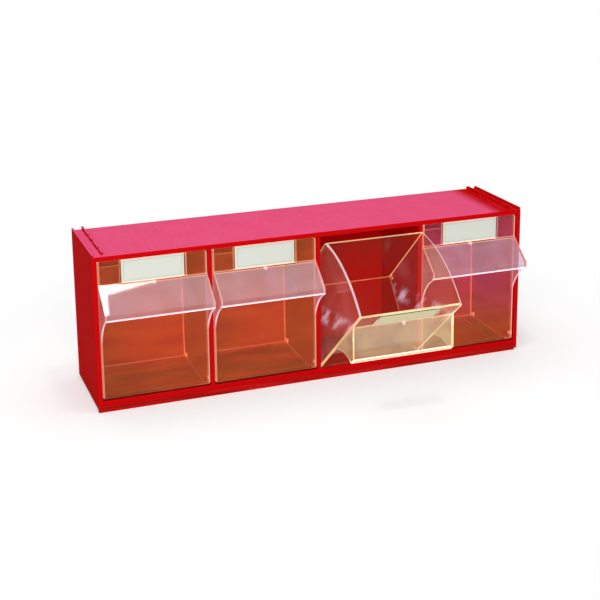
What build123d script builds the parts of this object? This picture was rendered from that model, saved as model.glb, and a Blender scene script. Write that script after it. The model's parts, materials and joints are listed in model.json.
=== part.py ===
from build123d import *
import os
from math import atan2, cos, degrees, hypot, radians, sin

os.makedirs("parts", exist_ok=True)

# A four-bay organizer: one red housing and four clear bins that tilt out of it.
# Millimetres. +X right, the bays open towards -Y, +Z up.
# The origin is the middle of the housing's underside.

# Housing, outside
housing_length = 600.0
housing_depth = 134.0
housing_height = 206.0
bin_count = 4
shell_wall = 2.5
corner_radius = 1.2
top_edge_radius = 1.6

# Housing, front frame
end_strip = 5.8
divider_strip = 5.4
divider_web = 2.5
strip_depth = 16.0
top_lip = 6.5
bottom_lip = 13.7
toe_height = 6.5
frame_step = 2.5

# Interlock: ridges and teeth on top, rebates and channels underneath
ridge_height = 2.6
ridge_width = 2.8
ridge_nose_radius = 2.0
tooth_height = 4.0
tooth_thickness = 2.4
tooth_inset = 13.3
tooth_gap = 5.0
tooth_rear_gap = 1.0
tooth_lengths = (42.0, 20.0, 32.0, 18.0)
tooth_nose_radius = 2.4
stack_clearance = 0.3
rebate_width = 4.4
channel_roof = 1.5
foot_margin = 3.0

# Wall holes in the housing's back
wall_hole_radius = 2.5
wall_hole_drop = 26.0

# Bins
side_clearance = 1.1
top_clearance = 1.0
lip_clearance = 2.8
rear_clearance = 3.5
front_setback = 3.5
bin_wall = 2.4
floor_gap = 6.0
ramp_depth = 20.0
rear_rise = 1.5
rear_lean = 4.0
rear_drop = 48.0
rim_relief = 1.3
side_edge_radius = 3.0

# Flap and its cheeks
panel_height = 30.5
flap_reach = 35.0
flap_drop = 28.5
flap_lip = 8.5
flap_thickness = 2.2
cheek_drop = 77.0
cheek_wall = 2.2
cheek_hollow = 5.5

# Hinge pegs, rear studs and stops
hinge_setback = 8.0
hinge_rise = 5.5
peg_radius = 2.5
peg_grip = 1.6
peg_clearance = 0.08
socket_end_gap = 0.4
stud_radius = 3.0
stud_length = 2.0
stud_inset = 3.5
stop_thickness = 3.0
stop_length = 12.0
stop_gap = 0.3
stop_side_gap = 1.0
rest_rib_width = 2.0
rest_rib_depth = 20.0
rest_rib_inset = 25.0
open_angle = 50.0

# Label cards and their covers
card_width = 80.0
card_thickness = 0.4
card_margin = 0.5
card_slack = 0.1
cover_width = 86.0
cover_thickness = 1.8
cover_edge_radius = 0.5

# Worked out from the sizes above
front_y = -housing_depth / 2
end_x = housing_length / 2
inside_length = housing_length - 2 * end_strip - (bin_count - 1) * divider_strip
bay_width = inside_length / bin_count
bay_pitch = bay_width + divider_strip
bay_centers = [(i - (bin_count - 1) / 2) * bay_pitch for i in range(bin_count)]
lip_depth = frame_step + shell_wall
ceiling = housing_height - shell_wall
back_inside = housing_depth - shell_wall

bin_width = bay_width - 2 * side_clearance
bin_front = front_setback
bin_top = housing_height - top_lip - top_clearance
bin_nose = bottom_lip + lip_clearance
floor_level = shell_wall + floor_gap
rear_top_depth = back_inside - rear_clearance
rear_top_height = bin_top - rear_drop
rear_foot_depth = rear_top_depth - rear_lean
rear_foot_height = floor_level + rear_rise
hinge_depth = bin_front + hinge_setback
hinge_height = bin_nose + hinge_rise
peg_length = side_clearance + peg_grip
socket_depth = peg_grip + socket_end_gap

panel_foot = bin_top - panel_height
flap_front = bin_front - flap_reach
flap_fold = panel_foot - flap_drop
flap_rim = flap_fold - flap_lip
cheek_foot = panel_foot - cheek_drop


def side_plane(x):
    """A plane across the length at x: local x is depth behind the front, local y is height."""
    return Plane(origin=(x, front_y, 0), x_dir=(0, 1, 0), z_dir=(1, 0, 0))


def front_plane(depth):
    """A plane facing the front at this depth behind it: local x is length, local y is height."""
    return Plane.XZ.offset(-front_y - depth)


def from_hinge(radius, angle):
    """The depth and height of a point at this radius and angle, in degrees, about the hinge."""
    return (
        hinge_depth + radius * cos(radians(angle)),
        hinge_height + radius * sin(radians(angle)),
    )


def polar_about_hinge(depth, height):
    """The radius and angle, in degrees, of a point about the hinge."""
    across = depth - hinge_depth
    up = height - hinge_height
    return hypot(across, up), degrees(atan2(up, across))


# The studs swing about the hinge with the bin, and the stops stand in their way
stud_depth = rear_foot_depth - stud_inset
stud_height = rear_foot_height + stud_inset
stud_swing, stud_angle = polar_about_hinge(stud_depth, stud_height)
stop_lead = degrees((stud_radius + stop_gap + stop_thickness / 2) / stud_swing)
stop_angle = stud_angle + open_angle + stop_lead
stop_place = from_hinge(stud_swing, stop_angle)

# The rim's middle point keeps the whole rim inside the swing of the bin's front top edge
rim_radius, rim_front_angle = polar_about_hinge(bin_front, bin_top)
rim_rear_angle = polar_about_hinge(rear_top_depth, rear_top_height)[1]
rim_middle = from_hinge(rim_radius - rim_relief, (rim_front_angle + rim_rear_angle) / 2)

# Housing: one moulding with ends, dividers, back and a frame round each bay
foot_width = tooth_inset + tooth_thickness + stack_clearance + foot_margin
channel_height = tooth_height + stack_clearance
foot_height = channel_height + channel_roof
rebate_height = ridge_height + stack_clearance

with BuildPart() as housing:
    with BuildSketch(Plane.XY):
        Rectangle(housing_length, housing_depth)
    extrude(amount=housing_height)
    fillet(housing.edges().filter_by(Axis.Z), corner_radius)
    fillet(housing.faces().sort_by(Axis.Y)[0].edges().sort_by(Axis.Z)[-1], top_edge_radius)

    # Each bay is cut between the lips, then wider and taller behind them
    for bay_x in bay_centers:
        with BuildSketch(front_plane(0)):
            opening_height = housing_height - top_lip - bottom_lip
            with Locations((bay_x, bottom_lip + opening_height / 2)):
                Rectangle(bay_width, opening_height)
        extrude(amount=-strip_depth, mode=Mode.SUBTRACT)
        with BuildSketch(front_plane(lip_depth)):
            with Locations((bay_x, (shell_wall + ceiling) / 2)):
                Rectangle(bay_width, ceiling - shell_wall)
        extrude(amount=-(strip_depth - lip_depth), mode=Mode.SUBTRACT)
        left_wall = bay_x - bay_pitch / 2 + divider_web / 2
        right_wall = bay_x + bay_pitch / 2 - divider_web / 2
        if bay_x == bay_centers[0]:
            left_wall = shell_wall - end_x
        if bay_x == bay_centers[-1]:
            right_wall = end_x - shell_wall
        with BuildSketch(front_plane(strip_depth)):
            with Locations(((left_wall + right_wall) / 2, (shell_wall + ceiling) / 2)):
                Rectangle(right_wall - left_wall, ceiling - shell_wall)
        extrude(amount=-(back_inside - strip_depth), mode=Mode.SUBTRACT)

        # Sockets for the bin's pegs, and a stop for each of its studs
        with BuildSketch(side_plane(bay_x - bay_width / 2 - socket_depth)):
            with Locations((hinge_depth, hinge_height)):
                Circle(peg_radius + peg_clearance)
        extrude(amount=bay_width + 2 * socket_depth, mode=Mode.SUBTRACT)
        stop_face = bin_width / 2 + stop_side_gap
        for stop_start, stop_end in (
            (left_wall, bay_x - stop_face),
            (bay_x + stop_face, right_wall),
        ):
            with BuildSketch(side_plane(stop_start)):
                with Locations(Location(stop_place, stop_angle)):
                    Rectangle(stop_length, stop_thickness)
            extrude(amount=stop_end - stop_start)

        # Two ribs hold the closed bin's rear edge just off the floor
        for rib_x in (
            bay_x - bin_width / 2 + rest_rib_inset,
            bay_x + bin_width / 2 - rest_rib_inset,
        ):
            with BuildSketch(Plane.XY.offset(shell_wall)):
                with Locations((rib_x, front_y + back_inside - rest_rib_depth / 2)):
                    Rectangle(rest_rib_width, rest_rib_depth)
            extrude(amount=rear_foot_height - rear_rise - stop_gap - shell_wall)

    # The dividers and the lower lip stand back from the frame, so the toe forms a ledge
    with BuildSketch(front_plane(0)):
        step_height = housing_height - top_lip - toe_height
        with Locations((0, toe_height + step_height / 2)):
            Rectangle(housing_length - 2 * end_strip, step_height)
    extrude(amount=-frame_step, mode=Mode.SUBTRACT)

    # The rebate of the interlock shows at the right front corner, and ends behind the left one
    for side, rebate_start in ((-1, lip_depth), (1, 0.0)):
        # Floor thickened over the channel and the rebate of the interlock
        foot_depth = back_inside - shell_wall
        with BuildSketch(Plane.XY):
            with Locations((side * (end_x - foot_width / 2), front_y + shell_wall + foot_depth / 2)):
                Rectangle(foot_width - 2 * corner_radius, foot_depth)
        extrude(amount=foot_height)
        channel_middle = end_x - tooth_inset - tooth_thickness / 2
        with BuildSketch(Plane.XY):
            with Locations((side * channel_middle, lip_depth / 2)):
                Rectangle(tooth_thickness + 2 * stack_clearance, housing_depth - lip_depth)
        extrude(amount=channel_height, mode=Mode.SUBTRACT)
        with BuildSketch(Plane.XY):
            with Locations((side * (end_x - rebate_width / 2), rebate_start / 2)):
                Rectangle(rebate_width, housing_depth - rebate_start)
        extrude(amount=rebate_height, mode=Mode.SUBTRACT)

        # Ridge along the top of the end, rounded down at the front corner
        ridge_start = side * (end_x - ridge_width / 2) - ridge_width / 2
        with BuildSketch(side_plane(ridge_start)) as ridge_outline:
            with Locations((housing_depth / 2, housing_height + ridge_height / 2)):
                Rectangle(housing_depth - 2 * corner_radius, ridge_height)
            nose = ridge_outline.vertices().sort_by(Axis.Z)[-2:].sort_by(Axis.Y)[0]
            fillet(nose, ridge_nose_radius)
        extrude(amount=ridge_width)

        # A row of hooked teeth beside the ridge, each with a rounded front shoulder
        tooth_start = side * channel_middle - tooth_thickness / 2
        tooth_rear = housing_depth - tooth_rear_gap
        for tooth_length in tooth_lengths:
            with BuildSketch(side_plane(tooth_start)) as tooth_outline:
                with Locations((tooth_rear - tooth_length / 2, housing_height + tooth_height / 2)):
                    Rectangle(tooth_length, tooth_height)
                shoulder = tooth_outline.vertices().sort_by(Axis.Z)[-2:].sort_by(Axis.Y)[0]
                fillet(shoulder, tooth_nose_radius)
            extrude(amount=tooth_thickness)
            tooth_rear = tooth_rear - tooth_length - tooth_gap

    # Two holes through the back, behind the outer bays
    with BuildSketch(front_plane(back_inside)):
        with Locations(
            (bay_centers[0], housing_height - wall_hole_drop),
            (bay_centers[-1], housing_height - wall_hole_drop),
        ):
            Circle(wall_hole_radius)
    extrude(amount=-shell_wall, mode=Mode.SUBTRACT)

housing.part.label = "housing"
export_step(housing.part, "parts/housing.step")


def make_bin(bay_x):
    """One clear bin in its closed place: tray, flap with cheeks, pegs and rear studs."""
    left = bay_x - bin_width / 2
    flap_slope = atan2(flap_drop, flap_reach)
    slope_step = flap_thickness / cos(flap_slope)
    fold_inside = flap_fold + flap_drop / flap_reach * flap_thickness - slope_step
    hollow = cheek_hollow / hypot(flap_reach, flap_rim - cheek_foot)
    cheek_middle = (
        (flap_front + bin_front) / 2 + hollow * (flap_rim - cheek_foot),
        (flap_rim + cheek_foot) / 2 + hollow * flap_reach,
    )
    with BuildPart() as tray:
        # Outside of the tray, seen from the end
        with BuildSketch(side_plane(left)):
            with BuildLine():
                Polyline(
                    (rear_top_depth, rear_top_height),
                    (rear_foot_depth, rear_foot_height),
                    (bin_front + ramp_depth, floor_level),
                    (bin_front, bin_nose),
                    (bin_front, bin_top),
                )
                ThreePointArc((bin_front, bin_top), rim_middle, (rear_top_depth, rear_top_height))
            make_face()
        extrude(amount=bin_width)
        side_edges = tray.faces().filter_by(Axis.X).edges()
        fillet(side_edges.filter_by(lambda edge: edge.center().Z < bin_nose), side_edge_radius)
        fillet(side_edges.filter_by(GeomType.CIRCLE), side_edge_radius)

        # Hollow, open at the top between the two curved rims
        with BuildSketch(side_plane(left + bin_wall)):
            with BuildLine():
                Polyline(
                    (bin_front + bin_wall, housing_height),
                    (bin_front + bin_wall, bin_nose + bin_wall),
                    (bin_front + ramp_depth, floor_level + bin_wall),
                    (rear_foot_depth - bin_wall, rear_foot_height + bin_wall),
                    (rear_top_depth - bin_wall, rear_top_height),
                    (rear_top_depth - bin_wall, housing_height),
                    close=True,
                )
            make_face()
        extrude(amount=bin_width - 2 * bin_wall, mode=Mode.SUBTRACT)

        # Flap block in front, with curved cheeks running back to the front wall
        with BuildSketch(side_plane(left)):
            with BuildLine():
                Polyline(
                    (bin_front, cheek_foot),
                    (bin_front, panel_foot),
                    (flap_front, flap_fold),
                    (flap_front, flap_rim),
                )
                ThreePointArc((flap_front, flap_rim), cheek_middle, (bin_front, cheek_foot))
            make_face()
        extrude(amount=bin_width)

        # Finger hollow under the flap, between the cheeks and open below
        with BuildSketch(side_plane(left + cheek_wall)):
            with BuildLine():
                Polyline(
                    (bin_front, cheek_foot - cheek_hollow),
                    (bin_front, panel_foot - slope_step),
                    (flap_front + flap_thickness, fold_inside),
                    (flap_front + flap_thickness, cheek_foot - cheek_hollow),
                    close=True,
                )
            make_face()
        extrude(amount=bin_width - 2 * cheek_wall, mode=Mode.SUBTRACT)

        # Pegs at the hinge and studs at the rear foot, each rooted in a side wall
        for peg_x in (left - peg_length, left + bin_width - bin_wall):
            with BuildSketch(side_plane(peg_x)):
                with Locations((hinge_depth, hinge_height)):
                    Circle(peg_radius)
            extrude(amount=peg_length + bin_wall)
        for stud_x in (left - stud_length, left + bin_width - bin_wall):
            with BuildSketch(side_plane(stud_x)):
                with Locations((stud_depth, stud_height)):
                    Circle(stud_radius)
            extrude(amount=stud_length + bin_wall)
    return tray.part


def make_cover(bay_x):
    """A clear cover flat on the bin's front panel, with a shallow pocket for the card behind."""
    middle = (bay_x, panel_foot + panel_height / 2)
    pocket_depth = card_thickness + card_slack
    pocket_height = panel_height - 2 * card_margin + 2 * card_slack
    with BuildPart() as cover:
        with BuildSketch(front_plane(bin_front - cover_thickness)):
            with Locations(middle):
                RectangleRounded(cover_width, panel_height, cover_edge_radius)
        extrude(amount=-cover_thickness)
        with BuildSketch(front_plane(bin_front - pocket_depth)):
            with Locations(middle):
                Rectangle(card_width + 2 * card_slack, pocket_height)
        extrude(amount=-pocket_depth, mode=Mode.SUBTRACT)
    return cover.part


def make_card(bay_x):
    """A paper label card in the cover's pocket, lying on the bin's front panel."""
    with BuildPart() as card:
        with BuildSketch(front_plane(bin_front - card_thickness)):
            with Locations((bay_x, panel_foot + panel_height / 2)):
                Rectangle(card_width, panel_height - 2 * card_margin)
        extrude(amount=-card_thickness)
    return card.part


# The third bin stands open, turned about its pegs, and the others are closed
hinge_line = Axis((0, front_y + hinge_depth, hinge_height), (1, 0, 0))
open_bins = (3,)

for number, bay_x in enumerate(bay_centers, start=1):
    pieces = {
        f"bin_{number}": make_bin(bay_x),
        f"label_cover_{number}": make_cover(bay_x),
        f"label_card_{number}": make_card(bay_x),
    }
    for name, piece in pieces.items():
        placed = piece.rotate(hinge_line, open_angle) if number in open_bins else piece
        placed.label = name
        export_step(placed, f"parts/{name}.step")
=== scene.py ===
import json
from math import cos, radians, sin

import bpy
import numpy as np
from mathutils import Matrix, Vector


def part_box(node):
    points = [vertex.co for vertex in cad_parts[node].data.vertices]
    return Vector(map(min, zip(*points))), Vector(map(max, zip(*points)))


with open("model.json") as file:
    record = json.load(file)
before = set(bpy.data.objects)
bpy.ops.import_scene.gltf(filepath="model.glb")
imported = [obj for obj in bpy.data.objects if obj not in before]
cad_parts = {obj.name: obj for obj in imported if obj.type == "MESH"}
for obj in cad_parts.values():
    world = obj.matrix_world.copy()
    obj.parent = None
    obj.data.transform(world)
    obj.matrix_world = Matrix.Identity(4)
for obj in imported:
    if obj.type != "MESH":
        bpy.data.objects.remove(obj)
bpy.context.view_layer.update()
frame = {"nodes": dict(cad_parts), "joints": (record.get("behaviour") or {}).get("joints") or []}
nodes = frame["nodes"]

# The view is from the front left and a little above, as an upright picture of a long low unit on
# a table. The lens is long enough that the far end is only a little smaller than the near one.
view_turn = radians(20.2)
view_dip = radians(13.82)
view_roll = radians(-0.58)
view_place = (-0.5811, -1.5763, 0.6743)
ahead = Vector((sin(view_turn) * cos(view_dip), cos(view_turn) * cos(view_dip), -sin(view_dip)))
level_right = Vector((cos(view_turn), -sin(view_turn), 0.0))
level_up = level_right.cross(ahead)
picture_right = cos(view_roll) * level_right + sin(view_roll) * level_up
picture_up = cos(view_roll) * level_up - sin(view_roll) * level_right
view_axes = Matrix((picture_right, picture_up, -ahead)).transposed().to_4x4()
camera_data = bpy.data.cameras.new("front_left_view")
camera_data.sensor_width = 36.0
camera_data.lens = 77.184
camera_data.shift_y = -0.2
camera = bpy.data.objects.new("front_left_view", camera_data)
camera.matrix_world = Matrix.Translation(view_place) @ view_axes
bpy.context.scene.collection.objects.link(camera)
bpy.context.scene.camera = camera
bpy.context.scene.view_settings.view_transform = "Standard"


# A pale table top carries the unit and runs on behind it. It is matt, and it takes the unit's
# soft shadow. Seen directly or through clear plastic it is as white as the room behind it.
def new_material(name):
    """An empty node material, with its tree and its output."""
    material = bpy.data.materials.new(name)
    material.use_nodes = True
    material.node_tree.nodes.clear()
    return material, material.node_tree, material.node_tree.nodes.new("ShaderNodeOutputMaterial")


def reckon(tree, operation, first, second=0.0):
    """One step of arithmetic on one or two values, each a plain number or a socket."""
    node = tree.nodes.new("ShaderNodeMath")
    node.operation = operation
    for socket, value in ((node.inputs[0], first), (node.inputs[1], second)):
        if isinstance(value, float):
            socket.default_value = value
        else:
            tree.links.new(value, socket)
    return node.outputs[0]


def span(tree, source, low, high, start=0.0, end=1.0):
    """A value carried from one range to another, and held inside it."""
    node = tree.nodes.new("ShaderNodeMapRange")
    node.interpolation_type = "SMOOTHSTEP"
    node.inputs["From Min"].default_value = start
    node.inputs["From Max"].default_value = end
    node.inputs["To Min"].default_value = low
    node.inputs["To Max"].default_value = high
    tree.links.new(source, node.inputs["Value"])
    return node.outputs["Result"]


def rising(tree, source, start, end):
    """A mask that goes from zero to one as a value goes through a range."""
    return span(tree, source, 0.0, 1.0, start, end)


def all_of(tree, first, *others):
    """Masks and weights multiplied together."""
    for other in others:
        first = reckon(tree, "MULTIPLY", first, other)
    return first


def any_of(tree, first, *others):
    """The largest of several masks."""
    for other in others:
        first = reckon(tree, "MAXIMUM", first, other)
    return first


def seen_directly(tree):
    """One where a ray comes from the camera, a reflection or clear plastic, and zero elsewhere."""
    path = tree.nodes.new("ShaderNodeLightPath").outputs
    return any_of(tree, path["Is Camera Ray"], path["Is Glossy Ray"], path["Is Transmission Ray"])


table_reach = 8.0
squares = 16
side = np.linspace(-table_reach, table_reach, squares + 1)
across, along = np.meshgrid(side, side)
table_points = np.column_stack((across.ravel(), along.ravel(), np.zeros(side.size**2)))
first_corner = (np.arange(squares)[:, None] * side.size + np.arange(squares)).ravel()
round_square = np.array((0, 1, side.size + 1, side.size))
table_mesh = bpy.data.meshes.new("table_top")
table_mesh.from_pydata(table_points.tolist(), [], (first_corner[:, None] + round_square).tolist())
table_top = bpy.data.objects.new("table_top", table_mesh)
bpy.context.scene.collection.objects.link(table_top)

matt_white = (0.84, 0.84, 0.84, 1)
lift_to_white = 0.34
fades_from, all_white_at = 0.32, 0.64
table_white, tree, out = new_material("table_white")
matt = tree.nodes.new("ShaderNodeBsdfDiffuse")
matt.inputs["Color"].default_value = matt_white
lift = tree.nodes.new("ShaderNodeEmission")
seen = seen_directly(tree)
tree.links.new(all_of(tree, seen, lift_to_white), lift.inputs["Strength"])
lifted = tree.nodes.new("ShaderNodeAddShader")
tree.links.new(matt.outputs[0], lifted.inputs[0])
tree.links.new(lift.outputs[0], lifted.inputs[1])
distance = tree.nodes.new("ShaderNodeVectorMath")
distance.operation = "LENGTH"
tree.links.new(tree.nodes.new("ShaderNodeTexCoord").outputs["Object"], distance.inputs[0])
far_off = rising(tree, distance.outputs["Value"], fades_from, all_white_at)
plain_white = tree.nodes.new("ShaderNodeEmission")
blend = tree.nodes.new("ShaderNodeMixShader")
tree.links.new(all_of(tree, far_off, seen), blend.inputs[0])
tree.links.new(lifted.outputs[0], blend.inputs[1])
tree.links.new(plain_white.outputs[0], blend.inputs[2])
tree.links.new(blend.outputs[0], out.inputs["Surface"])
table_mesh.materials.append(table_white)

# The room is white and gives an even soft light. A wide lamp stands in front to the left, and a
# wide one hangs overhead with two small ones that glint in a corner of the first bin's flap.
room = bpy.data.worlds.new("white_room")
room.use_nodes = True
tree = room.node_tree
tree.nodes.clear()
soft_light = tree.nodes.new("ShaderNodeBackground")
soft_light.inputs["Color"].default_value = (1, 1, 1, 1)
soft_light.inputs["Strength"].default_value = 0.30
white_wall = tree.nodes.new("ShaderNodeBackground")
white_wall.inputs["Color"].default_value = (1, 1, 1, 1)
white_wall.inputs["Strength"].default_value = 1.0
choose = tree.nodes.new("ShaderNodeMixShader")
out = tree.nodes.new("ShaderNodeOutputWorld")
tree.links.new(seen_directly(tree), choose.inputs[0])
tree.links.new(soft_light.outputs[0], choose.inputs[1])
tree.links.new(white_wall.outputs[0], choose.inputs[2])
tree.links.new(choose.outputs[0], out.inputs["Surface"])
bpy.context.scene.world = room


def hang_lamp(name, place, aim, across, along, watts, turn=0.0):
    """A flat lamp at a place, facing a point, and turned about its own middle."""
    lamp = bpy.data.lights.new(name, "AREA")
    lamp.shape = "RECTANGLE"
    lamp.size = across
    lamp.size_y = along
    lamp.energy = watts
    holder = bpy.data.objects.new(name, lamp)
    facing = (Vector(aim) - Vector(place)).to_track_quat("-Z", "Y").to_matrix().to_4x4()
    holder.matrix_world = Matrix.Translation(place) @ facing @ Matrix.Rotation(turn, 4, "Z")
    bpy.context.scene.collection.objects.link(holder)


wide, long, narrow = 1.8, 0.16, 0.08
glint_height = 1.6
side_x, side_y = -0.053, -0.240
top_x, top_y = 0.0235, -0.212
hang_lamp("front_lamp", (-1.0, -2.6, 1.25), (0, 0, 0.1), wide, wide, watts=48)
hang_lamp("ceiling_lamp", (0.0, 0.15, 1.9), (0, 0, 0.2), wide, wide, watts=12)
hang_lamp("flap_side_glint", (side_x, side_y, glint_height), (side_x, side_y, 0), narrow, long, watts=0.9)
hang_lamp(
    "flap_top_glint", (top_x, top_y, glint_height), (top_x, top_y, 0), long, narrow,
    watts=0.9, turn=radians(9.3)
)


# The housing is one moulding of red plastic with a very faint shine. Its edges are painted paler
# as a painted highlight, its toe is painted darker in streaks as painted shade, and its top is
# painted pink as a painted reflection and finely scratched where other units slide on.
def group_socket(group, name, direction, kind, value=None):
    """Adds a named input or output to a node group, with the input's usual value."""
    socket = group.interface.new_socket(name=name, in_out=direction, socket_type=kind)
    if value is not None:
        socket.default_value = value


def falling(tree, source, start, end):
    """A mask that goes from one to zero as a value goes through a range."""
    return span(tree, source, 1.0, 0.0, start, end)


edge_group = bpy.data.node_groups.new("edge_mask", "ShaderNodeTree")
group_socket(edge_group, "Radius", "INPUT", "NodeSocketFloat", 0.001)
group_socket(edge_group, "Mask", "OUTPUT", "NodeSocketFloat")
group_socket(edge_group, "Rounded Normal", "OUTPUT", "NodeSocketVector")
given = edge_group.nodes.new("NodeGroupInput")
handed = edge_group.nodes.new("NodeGroupOutput")
rounded = edge_group.nodes.new("ShaderNodeBevel")
rounded.samples = 6
flat = edge_group.nodes.new("ShaderNodeNewGeometry")
likeness = edge_group.nodes.new("ShaderNodeVectorMath")
likeness.operation = "DOT_PRODUCT"
edge_group.links.new(given.outputs["Radius"], rounded.inputs["Radius"])
edge_group.links.new(rounded.outputs["Normal"], likeness.inputs[0])
edge_group.links.new(flat.outputs["Normal"], likeness.inputs[1])
at_edge = falling(edge_group, likeness.outputs["Value"], 0.80, 0.995)
edge_group.links.new(at_edge, handed.inputs["Mask"])
edge_group.links.new(rounded.outputs["Normal"], handed.inputs["Rounded Normal"])


def edge_mask(tree, radius):
    """The edge group in a material's tree, reaching this far in from each edge, in metres."""
    node = tree.nodes.new("ShaderNodeGroup")
    node.node_tree = edge_group
    node.inputs["Radius"].default_value = radius
    return node.outputs


def noise(tree, source, scale, detail):
    """The strength of a noise pattern on the given coordinates."""
    node = tree.nodes.new("ShaderNodeTexNoise")
    node.inputs["Scale"].default_value = scale
    node.inputs["Detail"].default_value = detail
    tree.links.new(source, node.inputs["Vector"])
    return node.outputs["Fac"]


def streaked(tree, source, scale, detail):
    """A noise pattern with its own scale along X, Y and Z, so that it is drawn out in streaks."""
    node = tree.nodes.new("ShaderNodeMapping")
    node.inputs["Scale"].default_value = scale
    tree.links.new(source, node.inputs["Vector"])
    return noise(tree, node.outputs["Vector"], 1.0, detail)


def three_ways(tree, source):
    """A vector taken apart into its X, Y and Z."""
    node = tree.nodes.new("ShaderNodeSeparateXYZ")
    tree.links.new(source, node.inputs[0])
    return node.outputs


def mix_colours(tree, share, first, second):
    """Two colours mixed by a share, each a plain colour or a socket."""
    node = tree.nodes.new("ShaderNodeMix")
    node.data_type = "RGBA"
    tree.links.new(share, node.inputs["Factor"])
    for socket, colour in ((node.inputs[6], first), (node.inputs[7], second)):
        if isinstance(colour, tuple):
            socket.default_value = (*colour, 1)
        else:
            tree.links.new(colour, socket)
    return node.outputs[2]


def bump_from(tree, height, strength, depth):
    """A bump from a height pattern, and its node, so that a rounded normal can feed it."""
    node = tree.nodes.new("ShaderNodeBump")
    node.inputs["Strength"].default_value = strength
    node.inputs["Distance"].default_value = depth
    tree.links.new(height, node.inputs["Height"])
    return node


teeth_height = 0.004
housing_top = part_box("housing")[1].z - teeth_height
toe_height = 0.0065
toe_blur = 0.0004
reflection_until, red_from = 0.250, 0.274
housing_red, tree, out = new_material("gloss_red")
skin = tree.nodes.new("ShaderNodeBsdfPrincipled")
surface = tree.nodes.new("ShaderNodeTexCoord").outputs
place = surface["Object"]
spot = three_ways(tree, place)
edges = edge_mask(tree, 0.0008)

patches = noise(tree, place, 22.0, 3.0)
moulded = mix_colours(tree, patches, (0.61, 0.0020, 0.0030), (0.66, 0.003, 0.0045))
# The toe is painted darker in streaks, as painted shade
toe_shade_streaks = rising(tree, streaked(tree, place, (9.0, 60.0, 260.0), 3.0), 0.35, 0.65)
toe_shade = mix_colours(tree, toe_shade_streaks, (0.28, 0.008, 0.003), (0.66, 0.014, 0.012))
on_toe = span(tree, spot["Z"], 0.8, 0.0, toe_height - toe_blur, toe_height + toe_blur)
toe_shaded = mix_colours(tree, on_toe, moulded, toe_shade)

facing_up = rising(tree, three_ways(tree, surface["Normal"])["Z"], 0.6, 0.98)
at_top = rising(tree, spot["Z"], housing_top - 0.0015, housing_top - 0.0005)
on_top = all_of(tree, facing_up, at_top)
# The top is painted pink up to near the right end, as a painted reflection of the white room
top_reflection = all_of(tree, on_top, falling(tree, spot["X"], reflection_until, red_from))
reflection_pink = mix_colours(tree, noise(tree, place, 30.0, 4.0), (0.88, 0.082, 0.200), (0.93, 0.112, 0.265))
with_top_reflection = mix_colours(tree, top_reflection, toe_shaded, reflection_pink)
lines = rising(tree, streaked(tree, place, (900.0, 14.0, 14.0), 2.0), 0.60, 0.72)
scratches = all_of(tree, lines, on_top)
scratched = mix_colours(tree, all_of(tree, scratches, 0.22), with_top_reflection, (0.95, 0.32, 0.45))
# The edges are painted paler, as a painted highlight
edge_highlighted = mix_colours(tree, all_of(tree, edges["Mask"], 0.40), scratched, (0.88, 0.05, 0.07))
tree.links.new(edge_highlighted, skin.inputs["Base Color"])

sheen = span(tree, noise(tree, place, 60.0, 4.0), 0.30, 0.36, 0.3, 0.7)
dulled = all_of(tree, scratches, 0.15)
tree.links.new(reckon(tree, "ADD", sheen, dulled), skin.inputs["Roughness"])
skin.inputs["Specular IOR Level"].default_value = 0.0
skin.inputs["Coat Weight"].default_value = 0.02
skin.inputs["Coat Roughness"].default_value = 0.14
grain = bump_from(tree, noise(tree, place, 900.0, 2.0), strength=0.10, depth=0.00008)
tree.links.new(edges["Rounded Normal"], grain.inputs["Normal"])
tree.links.new(grain.outputs["Normal"], skin.inputs["Normal"])
tree.links.new(skin.outputs[0], out.inputs["Surface"])
nodes["housing"].material_slots[0].material = housing_red

# Each bin is one moulding of clear styrene with a flap in front for the fingers. It turns on pegs
# that are sprung into the housing. Its edges and ends are painted with a pale glow for light caught
# in its walls, and the flap is clouded by handling, the clouding painted as a glow.
cover_low, cover_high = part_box("label_cover_1")
bay_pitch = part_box("label_cover_2")[0].x - cover_low.x
front_wall = cover_high.y
flap_top = cover_low.z
flap_fold = flap_top - 0.0285
lip_shows_from, lip_shows_fully = flap_fold - 0.0068, flap_fold - 0.0074
flap_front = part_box("bin_1")[0].y
bin_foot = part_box("bin_1")[0].z
bin_wall = 0.0024
wall_blur = 0.0004
bin_half = 0.0704
rear_rim = 0.1505
gate_below_top = 0.0015
gate_radius, gate_blur = 0.0022, 0.0010
glint_band_slope, glint_band_height = 1.5, 0.062
hinge_place = (0.0, *frame["joints"][0]["pos_m"][1:])
open_by = {joint["child"]: -float(joint["range_deg"][0]) for joint in frame["joints"]}

place_group = bpy.data.node_groups.new("bin_place", "ShaderNodeTree")
group_socket(place_group, "Tilt", "INPUT", "NodeSocketFloat", 0.0)
group_socket(place_group, "Place", "OUTPUT", "NodeSocketVector")
group_socket(place_group, "Facing", "OUTPUT", "NodeSocketVector")
group_socket(place_group, "Off Middle", "OUTPUT", "NodeSocketFloat")
given = place_group.nodes.new("NodeGroupInput")
handed = place_group.nodes.new("NodeGroupOutput")
surface = place_group.nodes.new("ShaderNodeTexCoord").outputs
turn_back = reckon(place_group, "MULTIPLY", given.outputs["Tilt"], -1.0)
for source, centre, result in (("Object", hinge_place, "Place"), ("Normal", (0, 0, 0), "Facing")):
    stood_up = place_group.nodes.new("ShaderNodeVectorRotate")
    stood_up.rotation_type = "X_AXIS"
    stood_up.inputs["Center"].default_value = centre
    place_group.links.new(turn_back, stood_up.inputs["Angle"])
    place_group.links.new(surface[source], stood_up.inputs["Vector"])
    place_group.links.new(stood_up.outputs["Vector"], handed.inputs[result])
lies_along = three_ways(place_group, surface["Object"])["X"]
bay_share = reckon(place_group, "FRACT", reckon(place_group, "DIVIDE", lies_along, bay_pitch))
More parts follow.
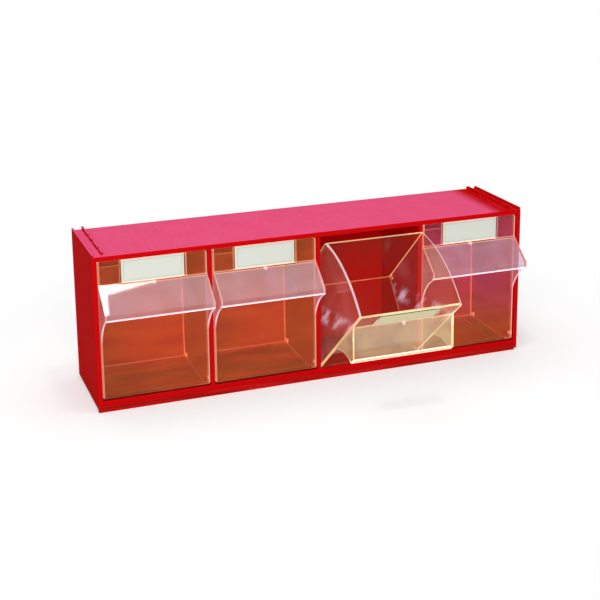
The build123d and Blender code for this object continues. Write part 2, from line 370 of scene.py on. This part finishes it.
from_middle = reckon(place_group, "ABSOLUTE", reckon(place_group, "SUBTRACT", bay_share, 0.5))
place_group.links.new(all_of(place_group, from_middle, bay_pitch), handed.inputs["Off Middle"])


def bin_place(tree, tilt):
    """The bin-place group in a material's tree: where a point lies and faces on its bin with the
    bin turned back closed by this many degrees, and how far it is from the bin's middle."""
    node = tree.nodes.new("ShaderNodeGroup")
    node.node_tree = place_group
    node.inputs["Tilt"].default_value = radians(tilt)
    return node.outputs


def shaded(tree, strength, colour):
    """A colour made stronger or weaker by a value."""
    node = tree.nodes.new("ShaderNodeVectorMath")
    node.operation = "SCALE"
    tree.links.new(colour, node.inputs[0])
    tree.links.new(strength, node.inputs["Scale"])
    return node.outputs[0]


def let_lamps_through(tree, plastic, out):
    """Finishes a clear material: rays on their way to a lamp pass it as if it weren't there."""
    through = tree.nodes.new("ShaderNodeBsdfTransparent")
    through.inputs["Color"].default_value = (0.99, 0.985, 0.985, 1)
    path = tree.nodes.new("ShaderNodeLightPath").outputs
    choose = tree.nodes.new("ShaderNodeMixShader")
    tree.links.new(any_of(tree, path["Is Shadow Ray"], path["Is Diffuse Ray"]), choose.inputs[0])
    tree.links.new(plastic.outputs[0], choose.inputs[1])
    tree.links.new(through.outputs[0], choose.inputs[2])
    tree.links.new(choose.outputs[0], out.inputs["Surface"])


def clear_styrene(name, tilt, low_glow, high_glow, side_glow, smear_glint, flap_glow, edge_glow, flap_edge_glow):
    """The bins' plastic, for a bin that stands open by this angle. It bends light less than a
    solid block would, so what is behind stays plain, and a thin coat gives it its shine. The
    glows and glints are painted light for what its walls give back, and the edge glows are
    painted light for its pale edges and ends."""
    material, tree, out = new_material(name)
    wall = tree.nodes.new("ShaderNodeBsdfPrincipled")
    wall.inputs["IOR"].default_value = 1.10
    wall.inputs["Transmission Weight"].default_value = 0.99
    wall.inputs["Coat Roughness"].default_value = 0.03
    wall.inputs["Emission Strength"].default_value = 1.0
    where = bin_place(tree, tilt)
    spot = three_ways(tree, where["Place"])
    faces = three_ways(tree, where["Facing"])
    aside = where["Off Middle"]
    on_flap = falling(tree, spot["Y"], front_wall - 0.0012, front_wall)
    on_tray = reckon(tree, "SUBTRACT", 1.0, on_flap)
    clear = mix_colours(tree, on_flap, (1.0, 0.85, 0.60), (0.68, 0.67, 0.68))
    tree.links.new(clear, wall.inputs["Base Color"])

    # The walls carry a painted glow of reflected light, one tone low and another high up to the
    # right, in streaky bands
    place = tree.nodes.new("ShaderNodeTexCoord").outputs["Object"]
    lies = three_ways(tree, place)
    rightward = rising(tree, lies["X"], 0.05, 0.16)
    upward = rising(tree, lies["Z"], 0.03, 0.10)
    reflection_glow = mix_colours(tree, all_of(tree, rightward, upward), low_glow, high_glow)
    flow = span(tree, streaked(tree, place, (14.0, 14.0, 90.0), 4.0), 0.62, 1.3, 0.35, 0.65)
    banded_glow = shaded(tree, flow, reflection_glow)

    # The side walls are clouded in drifts, painted as a faint glow, and carry painted glints
    # smeared along a slanting band
    sideways = rising(tree, reckon(tree, "ABSOLUTE", faces["X"]), 0.5, 0.9)
    side_glow_drift = span(tree, streaked(tree, place, (20.0, 9.0, 14.0), 3.0), 0.2, 1.0, 0.4, 0.66)
    dulled = mix_colours(tree, all_of(tree, sideways, side_glow_drift), banded_glow, side_glow)
    slant = reckon(tree, "ADD", spot["Z"], all_of(tree, spot["Y"], glint_band_slope))
    off_glint_band = reckon(tree, "ABSOLUTE", reckon(tree, "SUBTRACT", slant, glint_band_height))
    glint_band = falling(tree, off_glint_band, 0.006, 0.030)
    glint_smears = rising(tree, streaked(tree, where["Place"], (1.0, 85.0, 22.0), 3.0), 0.42, 0.66)
    with_glint_smears = mix_colours(tree, all_of(tree, sideways, glint_band, glint_smears), dulled, smear_glint)

    # Fingers cloud the flap, the clouding painted as a glow, and a small gate mark at the middle of
    # its upper edge is drawn as a painted highlight
    cloud = noise(tree, place, 38.0, 4.0)
    handled_glow = all_of(tree, span(tree, cloud, 0.55, 1.0, 0.32, 0.68), on_flap)
    clouded_glow = mix_colours(tree, handled_glow, with_glint_smears, flap_glow)
    down = reckon(tree, "SUBTRACT", flap_top - gate_below_top, spot["Z"])
    squared = reckon(tree, "ADD", all_of(tree, down, down), all_of(tree, aside, aside))
    at_gate = falling(tree, reckon(tree, "SQRT", squared), gate_radius, gate_radius + gate_blur)
    with_gate_glint = mix_colours(tree, all_of(tree, at_gate, on_flap, 0.5), clouded_glow, (0.8, 0.7, 0.7))

    # The side walls and the floor are seen end on at the bin's front, and these ends and its corners
    # are painted with a pale glow
    forward = falling(tree, faces["Y"], -0.8, -0.3)
    outermost = rising(tree, aside, bin_half - bin_wall, bin_half - bin_wall + wall_blur)
    lowest = falling(tree, spot["Z"], bin_foot + bin_wall - wall_blur, bin_foot + bin_wall)
    seen_end_on = all_of(tree, forward, any_of(tree, outermost, lowest))
    at_front = falling(tree, spot["Y"], front_wall + bin_wall, front_wall + bin_wall + wall_blur)
    end_on = any_of(tree, seen_end_on, all_of(tree, sideways, at_front, on_tray))
    edge_glowing = mix_colours(tree, end_on, with_gate_glint, edge_glow)
    corner_glowing = mix_colours(tree, edge_mask(tree, 0.0011)["Mask"], edge_glowing, edge_glow)

    # The tray ends in rims that face up, and the flap in a lip and in cheeks that slope down, all
    # painted with a pale glow
    high = rising(tree, spot["Z"], rear_rim - 0.003, rear_rim - 0.0015)
    rims = all_of(tree, rising(tree, faces["Z"], 0.25, 0.6), on_tray, high)
    rim_glow = mix_colours(tree, outermost, (0.72, 0.50, 0.26), (0.62, 0.50, 0.58))
    rim_glowing = mix_colours(tree, rims, corner_glowing, rim_glow)
    low = falling(tree, spot["Z"], lip_shows_fully, lip_shows_from)
    cheeks = all_of(tree, falling(tree, faces["Z"], -0.6, -0.25), on_flap)
    foremost = falling(tree, spot["Y"], flap_front + 0.003, flap_front + 0.004)
    flap_ends = all_of(tree, low, any_of(tree, cheeks, foremost))
    tree.links.new(mix_colours(tree, flap_ends, rim_glowing, flap_edge_glow), wall.inputs["Emission Color"])

    tree.links.new(span(tree, on_flap, 0.03, 0.70), wall.inputs["Coat Weight"])
    tree.links.new(span(tree, cloud, 0.01, 0.045, 0.35, 0.65), wall.inputs["Roughness"])
    ripple = bump_from(tree, noise(tree, place, 40.0, 1.0), strength=0.02, depth=0.0003)
    tree.links.new(ripple.outputs["Normal"], wall.inputs["Normal"])
    let_lamps_through(tree, wall, out)
    return material


# These tones are painted glows, standing in for light that the walls reflect
amber_glow = (0.040, 0.0090, 0.0008)
violet_glow = (0.040, 0.0045, 0.022)
barely_red_glow = (0.002, 0.0005, 0.0005)
closed_plastic = clear_styrene(
    "clear_styrene", 0.0, low_glow=amber_glow, high_glow=violet_glow, side_glow=amber_glow, smear_glint=amber_glow,
    flap_glow=(0.102, 0.068, 0.086), edge_glow=(0.42, 0.19, 0.15), flap_edge_glow=(0.62, 0.52, 0.58)
)
open_plastic = clear_styrene(
    "clear_styrene_open", max(open_by.values()), low_glow=barely_red_glow, high_glow=barely_red_glow,
    side_glow=(0.036, 0.020, 0.024), smear_glint=(0.17, 0.17, 0.23),
    flap_glow=(0.17, 0.135, 0.060), edge_glow=(0.62, 0.40, 0.19), flap_edge_glow=(0.80, 0.64, 0.36)
)
bin_numbers = range(1, 5)
stands_open = {number: open_by[f"bin_{number}_body"] > 0 for number in bin_numbers}
for number in bin_numbers:
    plastic = open_plastic if stands_open[number] else closed_plastic
    nodes[f"bin_{number}"].material_slots[0].material = plastic

# A thin clear cover holds the label flat on the bin's front panel. It is moulded of the same
# plastic as the bin, with polished faces, and its cut edges are painted with a pale glow.
clear_cover, tree, out = new_material("clear_cover")
cover = tree.nodes.new("ShaderNodeBsdfPrincipled")
cover.inputs["IOR"].default_value = 1.05
cover.inputs["Transmission Weight"].default_value = 0.99
cover.inputs["Coat Weight"].default_value = 0.15
cover.inputs["Coat Roughness"].default_value = 0.02
cover.inputs["Emission Strength"].default_value = 1.0
place = tree.nodes.new("ShaderNodeTexCoord").outputs["Object"]
touched = noise(tree, place, 45.0, 4.0)
tree.links.new(span(tree, touched, 0.01, 0.04, 0.35, 0.65), cover.inputs["Roughness"])
clear = mix_colours(tree, touched, (1.0, 0.98, 0.95), (0.985, 0.975, 0.98))
tree.links.new(clear, cover.inputs["Base Color"])
# The cut edges are painted with a pale glow
glow = mix_colours(tree, edge_mask(tree, 0.0006)["Mask"], (0.0, 0.0, 0.0), (0.42, 0.33, 0.30))
tree.links.new(glow, cover.inputs["Emission Color"])
let_lamps_through(tree, cover, out)
for number in bin_numbers:
    nodes[f"label_cover_{number}"].material_slots[0].material = clear_cover

# The label is a slip of off-white card, held in the cover's pocket. It is matt, with fine fibres,
# and has a thin grey frame printed just inside its edge.
card_low, card_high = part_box("label_card_1")
card_half_width = (card_high.x - card_low.x) / 2
card_half_height = (card_high.z - card_low.z) / 2
card_middle = (card_high.z + card_low.z) / 2
print_outside, print_inside, print_blur = 0.0020, 0.0030, 0.0002


def label_paper(name, tilt, dark_fibre, pale_fibre):
    """The label's card, for a bin that stands open by this angle."""
    material, tree, out = new_material(name)
    card = tree.nodes.new("ShaderNodeBsdfPrincipled")
    card.inputs["Specular IOR Level"].default_value = 0.2
    where = bin_place(tree, tilt)
    from_side = reckon(tree, "SUBTRACT", card_half_width, where["Off Middle"])
    off_height = reckon(tree, "SUBTRACT", three_ways(tree, where["Place"])["Z"], card_middle)
    from_top = reckon(tree, "SUBTRACT", card_half_height, reckon(tree, "ABSOLUTE", off_height))
    from_edge = reckon(tree, "MINIMUM", from_side, from_top)
    begun = rising(tree, from_edge, print_outside, print_outside + print_blur)
    unended = falling(tree, from_edge, print_inside - print_blur, print_inside)
    place = tree.nodes.new("ShaderNodeTexCoord").outputs["Object"]
    fibre = noise(tree, place, 700.0, 3.0)
    paper = mix_colours(tree, fibre, dark_fibre, pale_fibre)
    printed = mix_colours(tree, all_of(tree, begun, unended), paper, (0.60, 0.66, 0.59))
    tree.links.new(printed, card.inputs["Base Color"])
    tree.links.new(span(tree, fibre, 0.75, 0.95), card.inputs["Roughness"])
    fluff = bump_from(tree, fibre, strength=0.25, depth=0.00005)
    tree.links.new(fluff.outputs["Normal"], card.inputs["Normal"])
    tree.links.new(card.outputs[0], out.inputs["Surface"])
    return material


closed_card = label_paper("label_card", 0.0, (0.76, 0.82, 0.72), (0.84, 0.88, 0.80))
# The open bin's card is tinted yellow, painted for the light that reaches it through the cream front
# panel
card_lit_yellow = label_paper("label_card_open", max(open_by.values()), (0.80, 0.77, 0.42), (0.90, 0.87, 0.50))
for number in bin_numbers:
    card = card_lit_yellow if stands_open[number] else closed_card
    nodes[f"label_card_{number}"].material_slots[0].material = card
